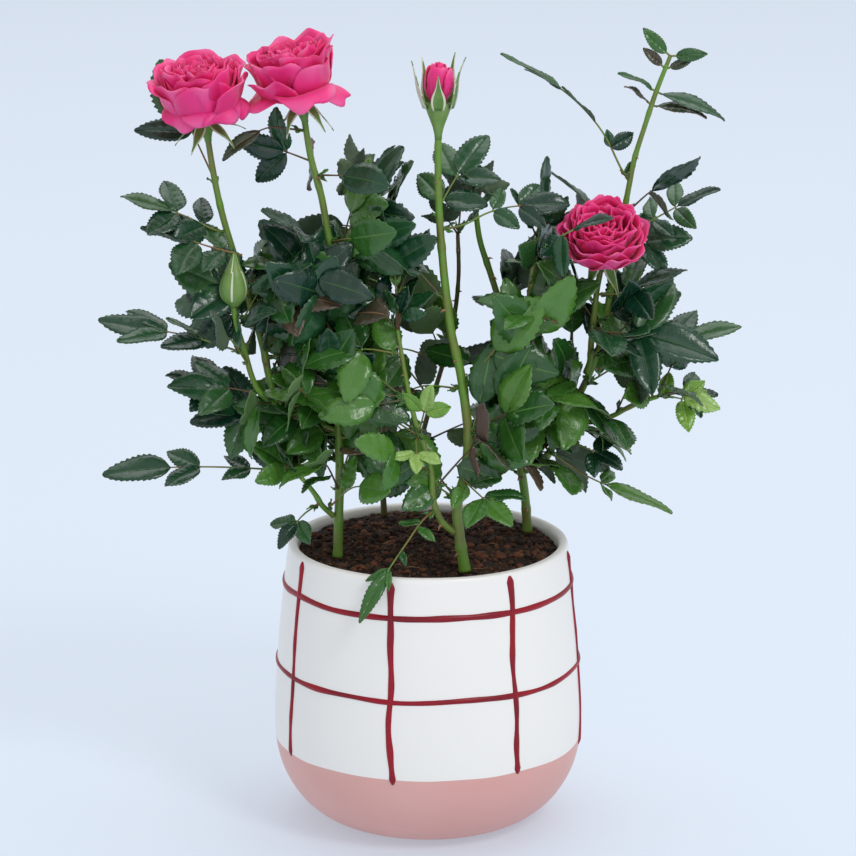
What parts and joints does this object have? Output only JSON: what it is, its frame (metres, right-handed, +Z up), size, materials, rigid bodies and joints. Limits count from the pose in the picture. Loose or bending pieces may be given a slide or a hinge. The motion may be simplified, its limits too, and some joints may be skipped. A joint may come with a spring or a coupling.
{
  "type": "potted miniature rose bush",
  "caption": "Small rose bush with open blooms, buds and compound leaves, growing in a rounded ceramic pot.",
  "frame": {"origin": "middle of the pot's flat underside", "axes": "+Z up, the plant's best side looks along -Y, +X to its right as seen from there"},
  "size_m": [0.2557, 0.1336, 0.3262],
  "materials": {
    "pot_glaze": "satin",
    "soil_peat": "matte",
    "cane_green": "satin",
    "cane_brown": "satin",
    "petal_pink": "satin",
    "sepal_green": "satin",
    "leaf_dark": "satin",
    "leaf_mid": "satin",
    "leaf_pale": "satin",
    "leaf_bronze": "satin"
  },
  "bodies": {
    "root": {"pot": "pot_glaze", "soil": "soil_peat", "cane_left": "cane_green", "cane_centre": "cane_green", "cane_right": "cane_green", "cane_back_left": "cane_brown", "cane_back_right": "cane_brown", "bough_left": "cane_green", "bough_low_left": "cane_green", "bough_centre_left": "cane_green", "bough_centre_right": "cane_green", "bough_right": "cane_green", "bough_low_right": "cane_green", "bough_bloom_right": "cane_green", "bough_bud_left": "cane_green", "bloom_left": "petal_pink", "bloom_middle": "petal_pink", "bloom_right": "petal_pink", "bud_opening": "sepal_green", "bud_closed": "sepal_green", "leaf_behind_left_bloom": "leaf_dark", "leaf_left_crest": "leaf_dark", "leaf_left_shoulder": "leaf_dark", "leaf_bronze_arch": "leaf_bronze", "leaf_left_fan": "leaf_dark", "leaf_left_reach": "leaf_dark", "leaf_left_under": "leaf_dark", "leaf_low_left": "leaf_dark", "leaf_rim_left": "leaf_dark", "leaf_over_rim": "leaf_mid", "leaf_low_front": "leaf_mid", "leaf_pale_high": "leaf_pale", "leaf_pale_low": "leaf_pale", "leaf_low_right": "leaf_mid", "leaf_round_right": "leaf_dark", "leaf_pale_right": "leaf_pale", "leaf_right_reach": "leaf_dark", "leaf_right_droop": "leaf_dark", "leaf_right_high": "leaf_dark", "leaf_right_round": "leaf_dark", "leaf_under_bloom": "leaf_dark", "leaf_tall_tip": "leaf_pale", "leaf_tall_pair": "leaf_dark", "leaf_high_arch": "leaf_dark", "leaf_bloom_screen": "leaf_dark", "leaf_top_right": "leaf_mid", "leaf_top_centre": "leaf_dark", "mass_left_top": "leaf_dark", "mass_left_high": "leaf_dark", "mass_left_mid": "leaf_dark", "mass_left_low": "leaf_mid", "mass_centre_top": "leaf_dark", "mass_centre_high": "leaf_dark", "mass_centre_mid": "leaf_mid", "mass_centre_low": "leaf_mid", "mass_right_top": "leaf_dark", "mass_right_mid": "leaf_mid", "mass_right_low": "leaf_mid", "mass_back_left": "leaf_dark", "mass_back_right": "leaf_dark"}
  },
  "joints": []
}
